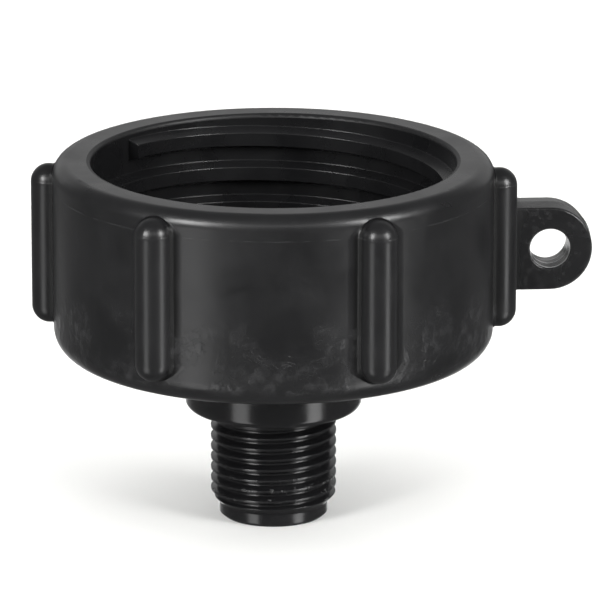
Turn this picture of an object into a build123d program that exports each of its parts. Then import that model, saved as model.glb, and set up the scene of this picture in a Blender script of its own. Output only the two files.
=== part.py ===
from build123d import *
from math import ceil, radians, tan
import os

# Adapter from a container's coarse male outlet to a small pipe thread, in millimetres.
# The origin is on the axis at the spigot's tip, +Z runs up to the open mouth, and +X runs
# out through the ear, whose middle plane is the mould's parting plane.

# Lengths along the axis, from the tip up
pilot_length = 2.2
outlet_thread_length = 16.5
boss_length = 10.1
collar_height = 32.2
floor_thickness = 4.0

# Outside of the turned shape
pilot_relief = 0.25
pilot_chamfer = 0.5
boss_shoulder = 4.22
boss_round = 1.2
boss_root_round = 1.0
collar_wall = 6.25
collar_base_round = 4.0
collar_rim_round = 2.4

# Waterway and mouth
waterway_diameter = 14.0
funnel_flare = 4.0
mouth_round = 0.6

# Fine male pipe thread: 1/2 inch, 14 threads to the inch, each flank leaning 27.5 degrees
outlet_major_diameter = 20.955
outlet_pitch = 25.4 / 14
outlet_thread_depth = 1.162
outlet_flank_lean = 27.5
outlet_crest_width = 0.34
outlet_lead_chamfer = 1.6
outlet_neck_length = 1.2
outlet_neck_step = 0.2
outlet_start_angle = 105.9

# Coarse female thread, 60 mm by 6 mm
inlet_major_diameter = 60.5
inlet_thread_depth = 2.05
inlet_pitch = 6.0
inlet_crest_width = 2.3
inlet_flank_run = 0.7
inlet_start_depth = 3.15
inlet_end_gap = 4.05
inlet_start_angle = 139.5

# Gasket on the socket's floor
gasket_thickness = 3.0
gasket_width = 6.95
gasket_radial_clearance = 0.3
gasket_edge_round = 0.25

# Grip ribs, spaced a little unevenly round the collar
rib_angles = (-4.0, 54.7, 113.0, 172.0, 234.7, 293.0)
rib_width = 6.0
rib_projection = 3.8
rib_base_gap = 3.6
rib_rim_gap = 1.4
rib_root_round = 0.5

# Ear
ear_hole_offset = 9.2
ear_hole_drop = 15.25
ear_height = 14.5
ear_thickness = 7.2
ear_draft = 4.0
ear_edge_round = 0.35
ear_hole_diameter = 6.3
ear_hole_land = 1.6
ear_hole_draft = 5.0
ear_hole_round = 0.3

# Heights and radii that several features share
spigot_length = pilot_length + outlet_thread_length
collar_base = spigot_length + boss_length
rim_height = collar_base + collar_height
floor_height = collar_base + floor_thickness
waterway_radius = waterway_diameter / 2
outlet_radius = outlet_major_diameter / 2
outlet_root_radius = outlet_radius - outlet_thread_depth
pilot_radius = outlet_root_radius - pilot_relief
boss_radius = outlet_radius + boss_shoulder
socket_radius = inlet_major_diameter / 2
inlet_crest_radius = socket_radius - inlet_thread_depth
collar_radius = socket_radius + collar_wall

# Extra length by which a swept ridge or a cut passes the surface that it meets
overlap = 0.2


def thread_ridge(pitch, turns, outline):
    """One ridge of a right-hand thread, from its outline in (radius, height)."""
    with BuildPart() as ridge:
        with BuildLine() as path:
            Helix(pitch, pitch * turns, outline[0][0])
        with BuildSketch(Plane.XZ):
            with BuildLine():
                Polyline(*outline, close=True)
            make_face()
        sweep(path=path.line, is_frenet=True)
    return ridge.part


# The coarse ridge winds down from near the rim to a set gap above the gasket. Its outline
# runs from inside the wall to a little past its crest, and both of its ends are left blunt.
inlet_thread_top = rim_height - inlet_start_depth
inlet_thread_bottom = floor_height + gasket_thickness + inlet_end_gap
inlet_turns = (inlet_thread_top - inlet_thread_bottom) / inlet_pitch
inlet_slope = inlet_flank_run / inlet_thread_depth
inlet_foot_half = inlet_crest_width / 2 + (inlet_thread_depth + overlap) * inlet_slope
inlet_tip_half = inlet_crest_width / 2 - overlap * inlet_slope
inlet_ridge = thread_ridge(inlet_pitch, inlet_turns, [
    (socket_radius + overlap, -inlet_foot_half),
    (inlet_crest_radius - overlap, -inlet_tip_half),
    (inlet_crest_radius - overlap, inlet_tip_half),
    (socket_radius + overlap, inlet_foot_half),
])
inlet_ridge_place = Location(
    (0, 0, inlet_thread_bottom), (0, 0, inlet_start_angle - 360 * inlet_turns)
)

# The fine ridge is made as single turns, set end to end past both ends of its thread. They
# are then cut back to the lead chamfer below, and run into the plain neck above.
outlet_slope = tan(radians(outlet_flank_lean))
outlet_foot_half = outlet_crest_width / 2 + (outlet_thread_depth + overlap) * outlet_slope
outlet_turn = thread_ridge(outlet_pitch, 1, [
    (outlet_root_radius - overlap, -outlet_foot_half),
    (outlet_radius, -outlet_crest_width / 2),
    (outlet_radius, outlet_crest_width / 2),
    (outlet_root_radius - overlap, outlet_foot_half),
])

outlet_turn_places = [
    Location((0, 0, pilot_length + turn * outlet_pitch), (0, 0, outlet_start_angle))
    for turn in range(-1, ceil(outlet_thread_length / outlet_pitch))
]
outlet_lead_slope = outlet_lead_chamfer / (outlet_radius - pilot_radius)
outlet_lead_top = pilot_length + outlet_lead_chamfer + overlap * outlet_lead_slope
neck_base = spigot_length - outlet_neck_length

with BuildPart() as outlet_thread:
    with Locations(outlet_turn_places):
        add(outlet_turn)
    with BuildSketch(Plane.XZ):
        with BuildLine():
            Polyline(
                (0, pilot_length),
                (pilot_radius, pilot_length),
                (outlet_radius + overlap, outlet_lead_top),
                (outlet_radius + overlap, neck_base + overlap),
                (0, neck_base + overlap),
                close=True,
            )
        make_face()
    revolve(axis=Axis.Z, mode=Mode.INTERSECT)

# One grip rib, a round bar with domed ends that stop short of the rim and the collar's base
rib_radius = rib_width / 2
rib_top = rim_height - rib_rim_gap
rib_bottom = collar_base + rib_base_gap
rib_straight = rib_top - rib_bottom - rib_width
with BuildPart() as rib:
    Cylinder(rib_radius, rib_straight)
    with Locations((0, 0, rib_straight / 2), (0, 0, -rib_straight / 2)):
        Sphere(rib_radius)

# The ear, a flat plate that is drafted both ways from the parting plane. Its hole has a
# short straight land in the middle and opens towards both faces.
ear_height_centre = rim_height - ear_hole_drop
ear_hole_reach = collar_radius + ear_hole_offset
ear_root_radius = (socket_radius + collar_radius) / 2
ear_hole_waist = ear_hole_diameter / 2 - ear_hole_land / 2 * tan(radians(ear_hole_draft))
ear_half = ear_thickness / 2
with BuildPart() as ear:
    with BuildSketch(Plane.XZ):
        with Locations((ear_hole_reach, ear_height_centre)):
            Circle(ear_height / 2)
        with Locations(((ear_root_radius + ear_hole_reach) / 2, ear_height_centre)):
            Rectangle(ear_hole_reach - ear_root_radius, ear_height)
    extrude(amount=ear_half, both=True, taper=ear_draft)
    fillet(ear.faces().filter_by(Axis.Y).edges(), ear_edge_round)
    with BuildSketch(Plane.XZ):
        with Locations((ear_hole_reach, ear_height_centre)):
            Circle(ear_hole_diameter / 2)
    extrude(amount=ear_half, both=True, mode=Mode.SUBTRACT)
    with BuildSketch(Plane.XZ):
        with Locations((ear_hole_reach, ear_height_centre)):
            Circle(ear_hole_waist)
    extrude(amount=ear_half, both=True, taper=-ear_hole_draft, mode=Mode.SUBTRACT)
    faces_of_ear = ear.faces().filter_by(Axis.Y)
    fillet([face.inner_wires()[0].edge() for face in faces_of_ear], ear_hole_round)

with BuildPart() as adapter_body:
    # Section of the turned shape as (radius, height, corner round), from the tip up the
    # outside and back down through the mouth
    section = [
        (pilot_radius - pilot_chamfer, 0, 0),
        (pilot_radius, pilot_chamfer, 0),
        (pilot_radius, pilot_length, 0),
        (outlet_root_radius, pilot_length + outlet_root_radius - pilot_radius, 0),
        (outlet_root_radius, neck_base, 0),
        (outlet_radius + outlet_neck_step, neck_base, 0),
        (outlet_radius + outlet_neck_step, spigot_length, 0),
        (boss_radius, spigot_length, boss_round),
        (boss_radius, collar_base, boss_root_round),
        (collar_radius, collar_base, collar_base_round),
        (collar_radius, rim_height, collar_rim_round),
        (socket_radius, rim_height, mouth_round),
        (socket_radius, floor_height, gasket_radial_clearance),
        (waterway_radius + funnel_flare, floor_height, 0),
        (waterway_radius, spigot_length, 0),
        (waterway_radius, 0, 0),
    ]
    with BuildSketch(Plane.XZ):
        with BuildLine():
            corners = [(radius, height) for radius, height, corner_round in section]
            rounds = [corner_round for radius, height, corner_round in section]
            FilletPolyline(*corners, radius=rounds, close=True)
        make_face()
    revolve(axis=Axis.Z)

    # Grip ribs, and the rounds where they meet the wall
    rib_circle = collar_radius + rib_projection - rib_radius
    rib_turns = [
        Location((0, 0, (rib_top + rib_bottom) / 2), (0, 0, angle)) for angle in rib_angles
    ]
    with Locations(rib_turns):
        with Locations((rib_circle, 0, 0)):
            add(rib.part)
    fillet(adapter_body.edges(Select.LAST), rib_root_round)

    # Ear
    add(ear.part)

    # Coarse thread, with its crest bored true
    with Locations(inlet_ridge_place):
        add(inlet_ridge)
    with BuildSketch(Plane.XY.offset(floor_height)):
        Circle(inlet_crest_radius)
    extrude(amount=collar_height, mode=Mode.SUBTRACT)

    # Fine thread
    add(outlet_thread.part)

with BuildPart() as sealing_gasket:
    gasket_radius = socket_radius - gasket_radial_clearance
    with BuildSketch(Plane.XY.offset(floor_height)):
        Circle(gasket_radius)
        Circle(gasket_radius - gasket_width, mode=Mode.SUBTRACT)
    extrude(amount=gasket_thickness)
    fillet(sealing_gasket.faces().sort_by(Axis.Z)[-1].edges(), gasket_edge_round)

adapter_body.part.label = "adapter_body"
sealing_gasket.part.label = "sealing_gasket"

os.makedirs("parts", exist_ok=True)
export_step(adapter_body.part, "parts/adapter_body.step")
export_step(sealing_gasket.part, "parts/sealing_gasket.step")
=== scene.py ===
import math
import bmesh
import bpy
from mathutils import Matrix, Vector

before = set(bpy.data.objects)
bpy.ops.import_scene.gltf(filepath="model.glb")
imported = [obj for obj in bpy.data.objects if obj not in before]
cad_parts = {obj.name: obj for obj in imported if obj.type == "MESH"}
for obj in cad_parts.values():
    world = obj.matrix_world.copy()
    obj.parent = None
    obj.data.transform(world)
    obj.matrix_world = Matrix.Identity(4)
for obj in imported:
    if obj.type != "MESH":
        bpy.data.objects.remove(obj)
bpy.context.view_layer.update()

mm = 0.001

# node settings that come up often
smooth = {"interpolation_type": "SMOOTHSTEP"}
multiply = {"operation": "MULTIPLY"}
add = {"operation": "ADD"}
subtract = {"operation": "SUBTRACT"}
larger = {"operation": "MAXIMUM"}
smaller = {"operation": "MINIMUM"}
unsigned = {"operation": "ABSOLUTE"}
above = {"operation": "GREATER_THAN"}
below = {"operation": "LESS_THAN"}
within = {"operation": "COMPARE"}
apart = {"operation": "DISTANCE"}

# a Mix node that blends colours, and its sockets
blend = {"data_type": "RGBA"}
share, first, second = 0, 6, 7
blended = 2


def linearColor(hexColor):
    # sRGB hex to the linear values that the shaders take
    channels = [int(hexColor[i:i + 2], 16) / 255 for i in (1, 3, 5)]
    return [c / 12.92 if c <= 0.04045 else ((c + 0.055) / 1.055) ** 2.4 for c in channels] + [1]


def addNode(tree, kind, settings, inputs):
    # another node's output is linked to the input, and anything else is set on it
    node = tree.nodes.new(kind)
    for name, value in settings.items():
        setattr(node, name, value)
    for name, value in inputs.items():
        if isinstance(value, bpy.types.NodeSocket):
            tree.links.new(value, node.inputs[name])
        else:
            node.inputs[name].default_value = value
    return node


def newMaterial(name):
    material = bpy.data.materials.new(name)
    material.use_nodes = True
    material.node_tree.nodes.clear()
    return material


print("stage: moulded polypropylene")
# The crease beside each rib is darkened with painted shade.
# Black polypropylene, injection moulded: deep neutral black under a satin gloss. The ribs,
# threads, boss and spigot keep the mould's polish. The collar's wall is duller, from flow
# marks and handling. Every edge is a little soft, and the wall curves up softly to each rib.
# A pair in brackets is where a fade starts and where it ends.
plastic = {
    "black": "#121213",
    "blackSmear": "#171718",
    "wallBlack": "#101011",
    "wallSmear": "#171718",
    # painted shade, for the crease beside each rib
    "paintedCreaseShade": "#080808",
    "markGrey": "#232324",
    "nickGrey": "#484848",
    "holeRingGrey": "#868686",

    "spigotRoughness": 0.21,
    "ribRoughness": 0.32,
    "earRoughness": 0.24,
    "wallRoughness": 0.33,
    "rootRoughness": 0.8,
    "lipRoughness": 0.5,
    "roughnessSpread": 0.05,
    "ior": 1.49,

    # the collar's wall
    "wallRadius": 36.5 * mm,
    "wallOff": (0.2 * mm, 0.7 * mm),
    "wallBottom": (30.0 * mm, 32.0 * mm),
    "wallTop": (58.4 * mm, 59.4 * mm),

    # the ribs as round bars, and the soft root beside each
    "ribAngles": (-4.0, 54.7, 113.0, 172.0, 234.7, 293.0),
    "ribCircle": 37.3 * mm,
    "ribRadius": 3.0 * mm,
    "ribLow": 35.4 * mm,
    "ribHigh": 56.6 * mm,
    "rootStart": 0.1 * mm,
    "rootReach": 2.3 * mm,
    "rootReachAtEnds": 0.4 * mm,
    "rootCurve": 2.0,
    "rootRise": 0.6,
    "rootSteep": (0.35, 0.75),
    "rootOff": (0.4 * mm, 0.8 * mm),
    "rootPastRib": (0.8 * mm, 2.2 * mm),
    "dullOff": (0.01 * mm, 0.06 * mm),
    "earOff": (0.8 * mm, 3.4 * mm),

    # the small round inside the mouth's edge
    "lipRadius": 30.9 * mm,
    "lipBottom": 60.3 * mm,

    "spigotRadius": 18 * mm,
    "edgeRound": 0.25 * mm,
    "edgeSamples": 6,

    # pattern sizes are in real millimetres, and each rise is a height in millimetres
    "smearSize": 9 * mm,
    "smearColor": (0.35, 0.7),
    "smearGloss": (0.3, 0.7),
    "peelSize": 1.4 * mm,
    "peelRise": 0.004,

    "flowTop": (37 * mm, 45 * mm),
    "flowPatch": (0.42, 0.6),
    "wormSize": 2.4 * mm,
    "wormMiddle": 0.5,
    "wormHalf": 0.02,
    "wormRise": 0.03,
    "blisterSize": 1.7 * mm,
    "blister": (0.42, 0.68),
    "blisterRise": 0.06,

    "witnessHeight": 56.9 * mm,
    "witnessWidth": 0.16 * mm,
    "witnessRadius": 35.5 * mm,
    "witnessRise": 0.02,
    "breakSize": 3 * mm,
    "breaks": (0.44, 0.56),
    "breakLeast": 0.1,

    "nickSize": 0.8 * mm,
    "nick": (0.54, 0.64),
    "nickBottom": 3.6 * mm,
    "nickTop": (5.5 * mm, 9.5 * mm),
    "nickRadius": (9.9 * mm, 10.2 * mm),
    "nickRise": -0.1,

    "earRadius": (40.4 * mm, 41.4 * mm),
    "earSpeck": 0.1,
    "earHole": (45.7 * mm, 0, 45.75 * mm),
    "earHoleReach": 3.7 * mm,
    "innerRingDepth": 0.9 * mm,
    "mouthRingDepth": 3.0 * mm,
    "holeRingWidth": 0.2 * mm,
}


def readSurface(tree, values):
    # where a point lies: its place, height, radius, and how far it stands off the wall
    place = addNode(tree, "ShaderNodeTexCoord", {}, {}).outputs["Object"]
    axes = addNode(tree, "ShaderNodeSeparateXYZ", {}, {"Vector": place})
    flat = addNode(tree, "ShaderNodeVectorMath", multiply, {0: place, 1: (1, 1, 0)})
    radius = addNode(tree, "ShaderNodeVectorMath", {"operation": "LENGTH"}, {
        0: flat.outputs[0]}).outputs["Value"]
    off = addNode(tree, "ShaderNodeMath", subtract, {0: radius, 1: values["wallRadius"]})
    return {
        "place": place,
        "x": axes.outputs["X"],
        "y": axes.outputs["Y"],
        "height": axes.outputs["Z"],
        "radius": radius,
        "off": off.outputs[0],
    }


def collarWall(tree, surface, values):
    # 1 on the collar's wall, 0 on the ribs, the ear, the rim and everything below
    away = addNode(tree, "ShaderNodeMath", unsigned, {0: surface["off"]})
    near = addNode(tree, "ShaderNodeMapRange", smooth, {
        "Value": away.outputs[0], "From Min": values["wallOff"][0],
        "From Max": values["wallOff"][1], "To Min": 1.0, "To Max": 0.0})
    high = addNode(tree, "ShaderNodeMapRange", smooth, {
        "Value": surface["height"], "From Min": values["wallBottom"][0],
        "From Max": values["wallBottom"][1]})
    low = addNode(tree, "ShaderNodeMapRange", smooth, {
        "Value": surface["height"], "From Min": values["wallTop"][0],
        "From Max": values["wallTop"][1], "To Min": 1.0, "To Max": 0.0})
    between = addNode(tree, "ShaderNodeMath", multiply, {0: high.outputs[0], 1: low.outputs[0]})
    return addNode(tree, "ShaderNodeMath", multiply, {
        0: near.outputs[0], 1: between.outputs[0]}).outputs[0]


def ribRoots(tree, surface, values):
    # the soft curve of the wall up to a rib, from the distance to the rib's own axis
    alongRib = addNode(tree, "ShaderNodeClamp", {}, {
        "Value": surface["height"], "Min": values["ribLow"], "Max": values["ribHigh"]})
    pastRib = addNode(tree, "ShaderNodeMath", subtract, {
        0: surface["height"], 1: alongRib.outputs[0]})
    across = addNode(tree, "ShaderNodeCombineXYZ", {}, {
        "X": surface["x"], "Y": surface["y"], "Z": pastRib.outputs[0]})
    distances = []
    for angle in values["ribAngles"]:
        turn = math.radians(angle)
        ribAxis = (values["ribCircle"] * math.cos(turn), values["ribCircle"] * math.sin(turn), 0)
        distances.append(addNode(tree, "ShaderNodeVectorMath", apart, {
            0: across.outputs[0], 1: ribAxis}).outputs["Value"])
    nearest = distances[0]
    for distance in distances[1:]:
        nearest = addNode(tree, "ShaderNodeMath", smaller, {0: nearest, 1: distance}).outputs[0]

    # it reaches less far round the rib's domed ends, so that the rim keeps its highlight
    past = addNode(tree, "ShaderNodeMath", unsigned, {0: pastRib.outputs[0]})
    reach = addNode(tree, "ShaderNodeMapRange", smooth, {
        "Value": past.outputs[0], "From Min": 0.0, "From Max": values["ribRadius"],
        "To Min": values["ribRadius"] + values["rootReach"],
        "To Max": values["ribRadius"] + values["rootReachAtEnds"]})
    beside = addNode(tree, "ShaderNodeMapRange", {}, {
        "Value": nearest, "From Min": values["ribRadius"] + values["rootStart"],
        "From Max": reach.outputs[0], "To Min": 1.0, "To Max": 0.0})

    # the ear's faces stand beyond it and stay flat
    beyond = addNode(tree, "ShaderNodeMapRange", smooth, {
        "Value": surface["off"], "From Min": values["earOff"][0],
        "From Max": values["earOff"][1]})
    raised = addNode(tree, "ShaderNodeMath", larger, {0: beside.outputs[0], 1: beyond.outputs[0]})
    curved = addNode(tree, "ShaderNodeMath", {"operation": "POWER"}, {
        0: raised.outputs[0], 1: values["rootCurve"]})
    rise = addNode(tree, "ShaderNodeMath", multiply, {
        0: curved.outputs[0], 1: values["rootRise"]})

    # 1 in the crease beside the rib, which gets painted shade, darkened to black as if the rib
    # shadowed it, and 1 in its narrow root, which is dull
    steep = addNode(tree, "ShaderNodeMapRange", smooth, {
        "Value": beside.outputs[0], "From Min": values["rootSteep"][0],
        "From Max": values["rootSteep"][1]})
    low = addNode(tree, "ShaderNodeMapRange", smooth, {
        "Value": surface["off"], "From Min": values["rootOff"][0],
        "From Max": values["rootOff"][1], "To Min": 1.0, "To Max": 0.0})
    along = addNode(tree, "ShaderNodeMapRange", smooth, {
        "Value": past.outputs[0], "From Min": values["rootPastRib"][0],
        "From Max": values["rootPastRib"][1], "To Min": 1.0, "To Max": 0.0})
    lowAlong = addNode(tree, "ShaderNodeMath", multiply, {0: low.outputs[0], 1: along.outputs[0]})
    creaseShade = addNode(tree, "ShaderNodeMath", multiply, {
        0: steep.outputs[0], 1: lowAlong.outputs[0]})
    offWall = addNode(tree, "ShaderNodeMapRange", smooth, {
        "Value": surface["off"], "From Min": values["dullOff"][0],
        "From Max": values["dullOff"][1]})
    root = addNode(tree, "ShaderNodeMath", multiply, {
        0: offWall.outputs[0], 1: lowAlong.outputs[0]})
    return rise.outputs[0], creaseShade.outputs[0], root.outputs[0]


def flowMarks(tree, surface, values, wall, smear):
    # patches low on the collar's wall, of blisters and of thin lines like worms
    low = addNode(tree, "ShaderNodeMapRange", smooth, {
        "Value": surface["height"], "From Min": values["flowTop"][0],
        "From Max": values["flowTop"][1], "To Min": 1.0, "To Max": 0.0})
    patch = addNode(tree, "ShaderNodeMapRange", {}, {
        "Value": smear, "From Min": values["flowPatch"][0], "From Max": values["flowPatch"][1]})
    lowPatch = addNode(tree, "ShaderNodeMath", multiply, {0: low.outputs[0], 1: patch.outputs[0]})
    marked = addNode(tree, "ShaderNodeMath", multiply, {0: lowPatch.outputs[0], 1: wall})

    worm = addNode(tree, "ShaderNodeTexNoise", {}, {
        "Vector": surface["place"], "Scale": 1 / values["wormSize"], "Detail": 2.0,
        "Distortion": 1.2})
    wormLine = addNode(tree, "ShaderNodeMath", within, {
        0: worm.outputs[0], 1: values["wormMiddle"], 2: values["wormHalf"]})
    wormRise = addNode(tree, "ShaderNodeMath", multiply, {
        0: wormLine.outputs[0], 1: values["wormRise"]})
    blisters = addNode(tree, "ShaderNodeTexNoise", {}, {
        "Vector": surface["place"], "Scale": 1 / values["blisterSize"], "Detail": 2.0,
        "Roughness": 0.45})
    blister = addNode(tree, "ShaderNodeMapRange", smooth, {
        "Value": blisters.outputs[0], "From Min": values["blister"][0],
        "From Max": values["blister"][1]})
    blisterRise = addNode(tree, "ShaderNodeMath", multiply, {
        0: blister.outputs[0], 1: values["blisterRise"]})
    bothRise = addNode(tree, "ShaderNodeMath", add, {
        0: wormRise.outputs[0], 1: blisterRise.outputs[0]})
    rise = addNode(tree, "ShaderNodeMath", multiply, {
        0: bothRise.outputs[0], 1: marked.outputs[0]})
    pale = addNode(tree, "ShaderNodeMath", multiply, {
        0: blister.outputs[0], 1: marked.outputs[0]})
    return rise.outputs[0], pale.outputs[0]


def patchyBreaks(tree, surface, values):
    # 1 where a mark is whole, and little where it breaks off
    breaks = addNode(tree, "ShaderNodeTexNoise", {}, {
        "Vector": surface["place"], "Scale": 1 / values["breakSize"], "Detail": 1.0})
    return addNode(tree, "ShaderNodeMapRange", smooth, {
        "Value": breaks.outputs[0], "From Min": values["breaks"][0],
        "From Max": values["breaks"][1], "To Min": values["breakLeast"]}).outputs[0]


def witnessLine(tree, surface, values, whole):
    # the broken line where two halves of the mould met, round the collar and its ribs
    away = addNode(tree, "ShaderNodeMath", subtract, {
        0: surface["height"], 1: values["witnessHeight"]})
    far = addNode(tree, "ShaderNodeMath", unsigned, {0: away.outputs[0]})
    line = addNode(tree, "ShaderNodeMapRange", smooth, {
        "Value": far.outputs[0], "From Min": 0.0, "From Max": values["witnessWidth"],
        "To Min": 1.0, "To Max": 0.0})
    outside = addNode(tree, "ShaderNodeMath", above, {
        0: surface["radius"], 1: values["witnessRadius"]})
    ring = addNode(tree, "ShaderNodeMath", multiply, {0: line.outputs[0], 1: outside.outputs[0]})
    broken = addNode(tree, "ShaderNodeMath", multiply, {0: ring.outputs[0], 1: whole})
    rise = addNode(tree, "ShaderNodeMath", multiply, {
        0: broken.outputs[0], 1: values["witnessRise"]})
    return rise.outputs[0], broken.outputs[0]


def nicksAndSpecks(tree, surface, values, whole, ear):
    # pale nicks in the lowest crests of the fine thread
    noise = addNode(tree, "ShaderNodeTexNoise", {}, {
        "Vector": surface["place"], "Scale": 1 / values["nickSize"], "Detail": 2.0})
    spots = addNode(tree, "ShaderNodeMapRange", smooth, {
        "Value": noise.outputs[0], "From Min": values["nick"][0],
        "From Max": values["nick"][1]})
    low = addNode(tree, "ShaderNodeMapRange", smooth, {
        "Value": surface["height"], "From Min": values["nickTop"][0],
        "From Max": values["nickTop"][1], "To Min": 1.0, "To Max": 0.0})
    high = addNode(tree, "ShaderNodeMath", above, {0: surface["height"], 1: values["nickBottom"]})
    out = addNode(tree, "ShaderNodeMapRange", smooth, {
        "Value": surface["radius"], "From Min": values["nickRadius"][0],
        "From Max": values["nickRadius"][1]})
    crests = addNode(tree, "ShaderNodeMath", multiply, {0: high.outputs[0], 1: out.outputs[0]})
    lowCrests = addNode(tree, "ShaderNodeMath", multiply, {
        0: low.outputs[0], 1: crests.outputs[0]})
    nicks = addNode(tree, "ShaderNodeMath", multiply, {
        0: lowCrests.outputs[0], 1: spots.outputs[0]})
    patchyNicks = addNode(tree, "ShaderNodeMath", multiply, {0: nicks.outputs[0], 1: whole})

    # and fainter specks on the ear
    earSpots = addNode(tree, "ShaderNodeMath", multiply, {0: ear, 1: spots.outputs[0]})
    specks = addNode(tree, "ShaderNodeMath", multiply, {
        0: earSpots.outputs[0], 1: values["earSpeck"]})
    both = addNode(tree, "ShaderNodeMath", larger, {
        0: patchyNicks.outputs[0], 1: specks.outputs[0]})
    rise = addNode(tree, "ShaderNodeMath", multiply, {
        0: both.outputs[0], 1: values["nickRise"]})
    return rise.outputs[0], both.outputs[0]


def holeRings(tree, surface, values):
    # pale grey rings inside the ear's hole, at two depths on each side of its mid-plane
    flat = addNode(tree, "ShaderNodeCombineXYZ", {}, {"X": surface["x"], "Z": surface["height"]})
    far = addNode(tree, "ShaderNodeVectorMath", apart, {0: flat.outputs[0], 1: values["earHole"]})
    inHole = addNode(tree, "ShaderNodeMath", below, {
        0: far.outputs["Value"], 1: values["earHoleReach"]})
    depth = addNode(tree, "ShaderNodeMath", unsigned, {0: surface["y"]})
    innerRing = addNode(tree, "ShaderNodeMath", within, {
        0: depth.outputs[0], 1: values["innerRingDepth"], 2: values["holeRingWidth"]})
    mouthRing = addNode(tree, "ShaderNodeMath", within, {
        0: depth.outputs[0], 1: values["mouthRingDepth"], 2: values["holeRingWidth"]})
    rings = addNode(tree, "ShaderNodeMath", larger, {
        0: innerRing.outputs[0], 1: mouthRing.outputs[0]})
    return addNode(tree, "ShaderNodeMath", multiply, {
        0: rings.outputs[0], 1: inHole.outputs[0]}).outputs[0]


def mouldedPolypropylene(values):
    material = newMaterial("mouldedPolypropylene")
    tree = material.node_tree
    surface = readSurface(tree, values)
    wall = collarWall(tree, surface, values)
    ear = addNode(tree, "ShaderNodeMapRange", smooth, {
        "Value": surface["radius"], "From Min": values["earRadius"][0],
        "From Max": values["earRadius"][1]}).outputs[0]
    smear = addNode(tree, "ShaderNodeTexNoise", {}, {
        "Vector": surface["place"], "Scale": 1 / values["smearSize"], "Detail": 4.0,
        "Roughness": 0.6, "Distortion": 0.4}).outputs[0]
    whole = patchyBreaks(tree, surface, values)
    rootRise, creaseShade, root = ribRoots(tree, surface, values)
    flowRise, flowPale = flowMarks(tree, surface, values, wall, smear)
    witnessRise, witness = witnessLine(tree, surface, values, whole)
    nickRise, nicks = nicksAndSpecks(tree, surface, values, whole, ear)
    rings = holeRings(tree, surface, values)

    # colour: cloudy black, each mark over it, and painted shade in the crease beside each rib
    smearColor = addNode(tree, "ShaderNodeMapRange", {}, {
        "Value": smear, "From Min": values["smearColor"][0],
        "From Max": values["smearColor"][1]})
    polished = addNode(tree, "ShaderNodeMix", blend, {
        share: smearColor.outputs[0], first: linearColor(values["black"]),
        second: linearColor(values["blackSmear"])})
    handled = addNode(tree, "ShaderNodeMix", blend, {
        share: smearColor.outputs[0], first: linearColor(values["wallBlack"]),
        second: linearColor(values["wallSmear"])})
    color = addNode(tree, "ShaderNodeMix", blend, {
        share: wall, first: polished.outputs[blended], second: handled.outputs[blended]})
    paleMarks = addNode(tree, "ShaderNodeMath", larger, {0: flowPale, 1: witness})
    for amount, markColor in (
        # painted shade: the crease beside each rib is darkened to black
        (creaseShade, "paintedCreaseShade"),
        (paleMarks.outputs[0], "markGrey"),
        (nicks, "nickGrey"),
        (rings, "holeRingGrey"),
    ):
        color = addNode(tree, "ShaderNodeMix", blend, {
            share: amount, first: color.outputs[blended],
            second: linearColor(values[markColor])})

    # gloss: polished spigot to satin ribs by radius, and then what differs from that
    gloss = addNode(tree, "ShaderNodeMapRange", {}, {
        "Value": surface["radius"], "From Min": values["spigotRadius"],
        "From Max": values["wallRadius"], "To Min": values["spigotRoughness"],
        "To Max": values["ribRoughness"]})
    lipHigh = addNode(tree, "ShaderNodeMath", above, {
        0: surface["height"], 1: values["lipBottom"]})
    lipInner = addNode(tree, "ShaderNodeMath", below, {
        0: surface["radius"], 1: values["lipRadius"]})
    lip = addNode(tree, "ShaderNodeMath", multiply, {
        0: lipHigh.outputs[0], 1: lipInner.outputs[0]})
    for amount, partRoughness in (
        (ear, "earRoughness"),
        (wall, "wallRoughness"),
        (root, "rootRoughness"),
        (lip.outputs[0], "lipRoughness"),
    ):
        gloss = addNode(tree, "ShaderNodeMapRange", {}, {
            "Value": amount, "To Min": gloss.outputs[0], "To Max": values[partRoughness]})
    spread = addNode(tree, "ShaderNodeMapRange", {}, {
        "Value": smear, "From Min": values["smearGloss"][0],
        "From Max": values["smearGloss"][1], "To Min": -values["roughnessSpread"],
        "To Max": values["roughnessSpread"]})
    roughness = addNode(tree, "ShaderNodeMath", add, {0: gloss.outputs[0], 1: spread.outputs[0]})

    # relief: faint orange peel all over, the marks, and softened edges
    peel = addNode(tree, "ShaderNodeTexNoise", {}, {
        "Vector": surface["place"], "Scale": 1 / values["peelSize"], "Detail": 2.0})
    relief = addNode(tree, "ShaderNodeMath", multiply, {
        0: peel.outputs[0], 1: values["peelRise"]})
    for rise in (flowRise, witnessRise, nickRise, rootRise):
        relief = addNode(tree, "ShaderNodeMath", add, {0: relief.outputs[0], 1: rise})
    edges = addNode(tree, "ShaderNodeBevel", {"samples": values["edgeSamples"]}, {
        "Radius": values["edgeRound"]})
    bump = addNode(tree, "ShaderNodeBump", {}, {
        "Strength": 1.0, "Distance": mm, "Height": relief.outputs[0],
        "Normal": edges.outputs[0]})

    shader = addNode(tree, "ShaderNodeBsdfPrincipled", {}, {
        "Base Color": color.outputs[blended], "Roughness": roughness.outputs[0],
        "Normal": bump.outputs[0], "IOR": values["ior"], "Metallic": 0.0})
    addNode(tree, "ShaderNodeOutputMaterial", {}, {"Surface": shader.outputs[0]})
    return material


print("stage: moulded rubber")
# EPDM rubber, compression moulded: matt charcoal with a little grey bloom on it. Its grain
# is drawn coarser than it is, so that it shows.
rubber = {
    "black": "#1b1b1b",
    "bloomGrey": "#2e2e2d",
    "roughness": 0.72,
    "roughnessSpread": 0.08,
    "ior": 1.5,
    "bloomSize": 6 * mm,
    "bloomColor": (0.4, 0.75),
    "bloomGloss": (0.3, 0.7),
    "grainSize": 0.5 * mm,
    "grainRise": 0.012,
}


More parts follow.
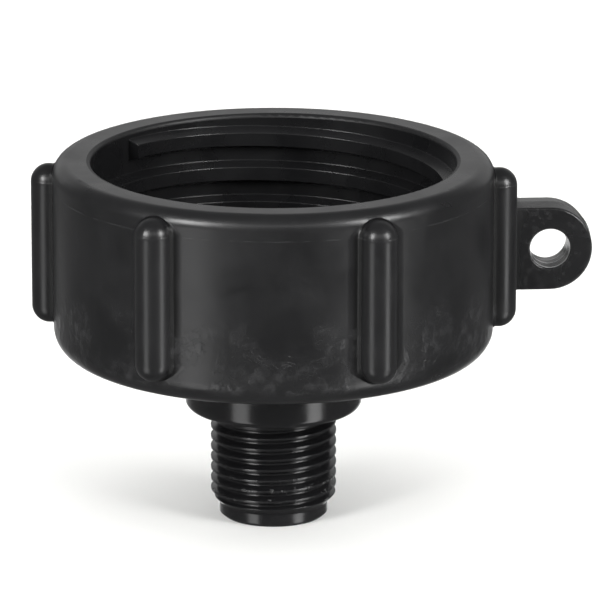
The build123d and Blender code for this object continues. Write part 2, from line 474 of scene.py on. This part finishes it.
def mouldedRubber(values):
    material = newMaterial("mouldedRubber")
    tree = material.node_tree
    place = addNode(tree, "ShaderNodeTexCoord", {}, {}).outputs["Object"]
    bloom = addNode(tree, "ShaderNodeTexNoise", {}, {
        "Vector": place, "Scale": 1 / values["bloomSize"], "Detail": 5.0, "Roughness": 0.65})
    bloomColor = addNode(tree, "ShaderNodeMapRange", {}, {
        "Value": bloom.outputs[0], "From Min": values["bloomColor"][0],
        "From Max": values["bloomColor"][1]})
    color = addNode(tree, "ShaderNodeMix", blend, {
        share: bloomColor.outputs[0], first: linearColor(values["black"]),
        second: linearColor(values["bloomGrey"])})
    roughness = addNode(tree, "ShaderNodeMapRange", {}, {
        "Value": bloom.outputs[0], "From Min": values["bloomGloss"][0],
        "From Max": values["bloomGloss"][1],
        "To Min": values["roughness"] - values["roughnessSpread"],
        "To Max": values["roughness"] + values["roughnessSpread"]})
    grain = addNode(tree, "ShaderNodeTexNoise", {}, {
        "Vector": place, "Scale": 1 / values["grainSize"], "Detail": 2.0})
    rise = addNode(tree, "ShaderNodeMath", multiply, {
        0: grain.outputs[0], 1: values["grainRise"]})
    bump = addNode(tree, "ShaderNodeBump", {}, {
        "Strength": 1.0, "Distance": mm, "Height": rise.outputs[0]})
    shader = addNode(tree, "ShaderNodeBsdfPrincipled", {}, {
        "Base Color": color.outputs[blended], "Roughness": roughness.outputs[0],
        "Normal": bump.outputs[0], "IOR": values["ior"], "Metallic": 0.0})
    addNode(tree, "ShaderNodeOutputMaterial", {}, {"Surface": shader.outputs[0]})
    return material


for nodeName, material in (
    ("adapter_body", mouldedPolypropylene(plastic)),
    ("sealing_gasket", mouldedRubber(rubber)),
):
    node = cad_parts[nodeName]
    node.data.materials.clear()
    node.data.materials.append(material)
    # evens out the shading of long thin triangles
    evened = node.modifiers.new("even_normals", "WEIGHTED_NORMAL")
    evened.mode = "CORNER_ANGLE"
    evened.keep_sharp = True


print("stage: floor and backdrop")
# Matt white studio board. It takes the object's shadow, and it neither mirrors in the
# gloss nor stands in the way of the soft boxes, which reach below its edge.
floor = {
    "size": 6.0,
    "white": "#f4f4f2",
    "patchSize": 0.4,
    "roughness": 0.8,
    "roughnessSpread": 0.05,
    "ior": 1.3,
}


def studioFloor(values):
    shape = bmesh.new()
    bmesh.ops.create_grid(shape, x_segments=1, y_segments=1, size=values["size"] / 2)
    mesh = bpy.data.meshes.new("studio_floor")
    shape.to_mesh(mesh)
    shape.free()
    board = bpy.data.objects.new("studio_floor", mesh)
    bpy.context.scene.collection.objects.link(board)
    board.visible_glossy = False
    board.visible_shadow = False

    material = newMaterial("mattWhiteBoard")
    tree = material.node_tree
    place = addNode(tree, "ShaderNodeTexCoord", {}, {}).outputs["Object"]
    patches = addNode(tree, "ShaderNodeTexNoise", {}, {
        "Vector": place, "Scale": 1 / values["patchSize"]})
    roughness = addNode(tree, "ShaderNodeMapRange", {}, {
        "Value": patches.outputs[0],
        "To Min": values["roughness"] - values["roughnessSpread"],
        "To Max": values["roughness"] + values["roughnessSpread"]})
    shader = addNode(tree, "ShaderNodeBsdfPrincipled", {}, {
        "Base Color": linearColor(values["white"]), "Roughness": roughness.outputs[0],
        "IOR": values["ior"]})
    addNode(tree, "ShaderNodeOutputMaterial", {}, {"Surface": shader.outputs[0]})
    mesh.materials.append(material)
    return board


studioFloor(floor)

# The camera sees a nearly white backdrop, and the object is lit by it much more dimly
backdrop = {
    "seen": "#f4f4f3",
    "light": "#ffffff",
    "lightStrength": 0.16,
}
world = bpy.data.worlds.new("studioBackdrop")
bpy.context.scene.world = world
world.use_nodes = True
world.node_tree.nodes.clear()
rays = addNode(world.node_tree, "ShaderNodeLightPath", {}, {})
lighting = addNode(world.node_tree, "ShaderNodeBackground", {}, {
    "Color": linearColor(backdrop["light"]), "Strength": backdrop["lightStrength"]})
seen = addNode(world.node_tree, "ShaderNodeBackground", {}, {
    "Color": linearColor(backdrop["seen"]), "Strength": 1.0})
either = addNode(world.node_tree, "ShaderNodeMixShader", {}, {
    0: rays.outputs["Is Camera Ray"], 1: lighting.outputs[0], 2: seen.outputs[0]})
addNode(world.node_tree, "ShaderNodeOutputWorld", {}, {"Surface": either.outputs[0]})


print("stage: soft boxes")
# Each front corner has a small bright box above the collar's level and a tall dimmer one
# below it, and a low one behind lights the left silhouette. Broad dim boxes stand in front
# and behind, one lies low behind, and one hangs overhead, which doesn't mirror in the
# gloss. All are aimed at the collar.
softBoxes = {
    # bearing from +X in degrees; distance, height, width and tallness in metres; watts
    "leftBright": (-138, 0.60, 0.31, 0.20, 0.28, 3.4),
    "leftLow": (-137, 0.60, -0.26, 0.24, 0.40, 0.82),
    "rightBright": (-39, 0.60, 0.31, 0.22, 0.28, 3.6),
    "rightLow": (-39, 0.60, -0.26, 0.22, 0.40, 1.15),
    "silhouette": (122, 0.60, -0.22, 0.16, 0.20, 0.02),
    "front": (-94, 1.10, 0.68, 1.30, 0.40, 2.0),
    "back": (85, 0.90, 0.30, 1.60, 0.50, 0.95),
    "backLow": (86, 0.90, -0.32, 0.80, 0.40, 1.0),
    "overhead": (90, 0.20, 1.05, 3.00, 3.00, 34.0),
}
softBoxAim = (0, 0, 0.035)
unmirrored = ("overhead",)


def addSoftBox(name, bearing, distance, height, width, tallness, power):
    lamp = bpy.data.lights.new(name, "AREA")
    lamp.shape = "RECTANGLE"
    lamp.size = width
    lamp.size_y = tallness
    lamp.energy = power
    box = bpy.data.objects.new(name, lamp)
    bpy.context.scene.collection.objects.link(box)
    turn = math.radians(bearing)
    box.location = (distance * math.cos(turn), distance * math.sin(turn), height)
    box.rotation_mode = "QUATERNION"
    box.rotation_quaternion = (Vector(softBoxAim) - box.location).to_track_quat("-Z", "Y")
    box.visible_camera = False
    box.visible_glossy = name not in unmirrored


for boxName, boxValues in softBoxes.items():
    addSoftBox(boxName, *boxValues)


print("stage: camera")
# Fitted to the photograph's rims, ribs and threads, in metres and degrees
cameraFit = {
    "distance": 1.0,
    "height": 0.3248083,
    "around": -4.0,
    "pan": 0.2521,
    "tilt": -16.0657,
    "roll": 0.0802,
    "focalPixels": 6265.2161,
    "frameWidth": 600,
    "sensor": 36.0,
    "clipStart": 0.1,
    "clipEnd": 20,
}


def addCamera(values):
    data = bpy.data.cameras.new("photo_camera")
    data.sensor_width = values["sensor"]
    data.lens = values["focalPixels"] * values["sensor"] / values["frameWidth"]
    data.clip_start = values["clipStart"]
    data.clip_end = values["clipEnd"]
    camera = bpy.data.objects.new("photo_camera", data)
    bpy.context.scene.collection.objects.link(camera)
    turned = Matrix.Rotation(math.radians(values["around"]), 4, "Z")
    placed = Matrix.Translation((0, -values["distance"], values["height"]))
    aimed = (
        Matrix.Rotation(math.radians(-values["pan"]), 4, "Z")
        @ Matrix.Rotation(math.radians(90 + values["tilt"]), 4, "X")
        @ Matrix.Rotation(math.radians(values["roll"]), 4, "Z")
    )
    camera.matrix_world = turned @ placed @ aimed
    return camera


bpy.context.scene.camera = addCamera(cameraFit)
bpy.context.scene.view_settings.view_transform = "Standard"
